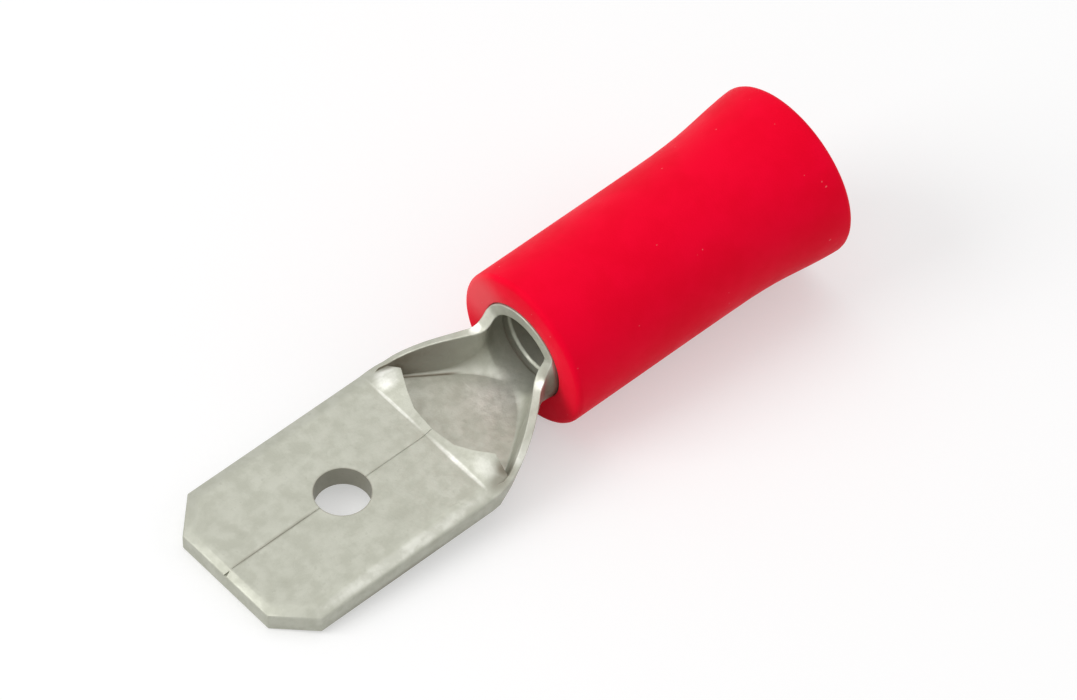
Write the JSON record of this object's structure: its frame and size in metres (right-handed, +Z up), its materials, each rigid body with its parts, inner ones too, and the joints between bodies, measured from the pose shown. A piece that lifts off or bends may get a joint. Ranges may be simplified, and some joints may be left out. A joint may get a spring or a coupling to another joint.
{
  "type": "male spade terminal",
  "caption": "Insulated male spade terminal: a tab folded from one sheet with a detent hole, narrowing into a crimp barrel inside a flared sleeve",
  "frame": {"origin": "middle of the part's bounding box, on the table it lies on", "axes": "+X runs from the tip of the tab to the wire end, +Y to the side, +Z up from the table; the part lies on the lower edge of its tip and the front edge of its sleeve, so its own axis rises by 4.9 degrees towards the wire end"},
  "size_m": [0.0232, 0.0064, 0.0066],
  "materials": {
    "tinned_brass": "tin-plated, satin",
    "red_vinyl": "smooth matt moulding"
  },
  "bodies": {
    "root": {"terminal": "tinned_brass", "insulating_sleeve": "red_vinyl"}
  },
  "joints": []
}
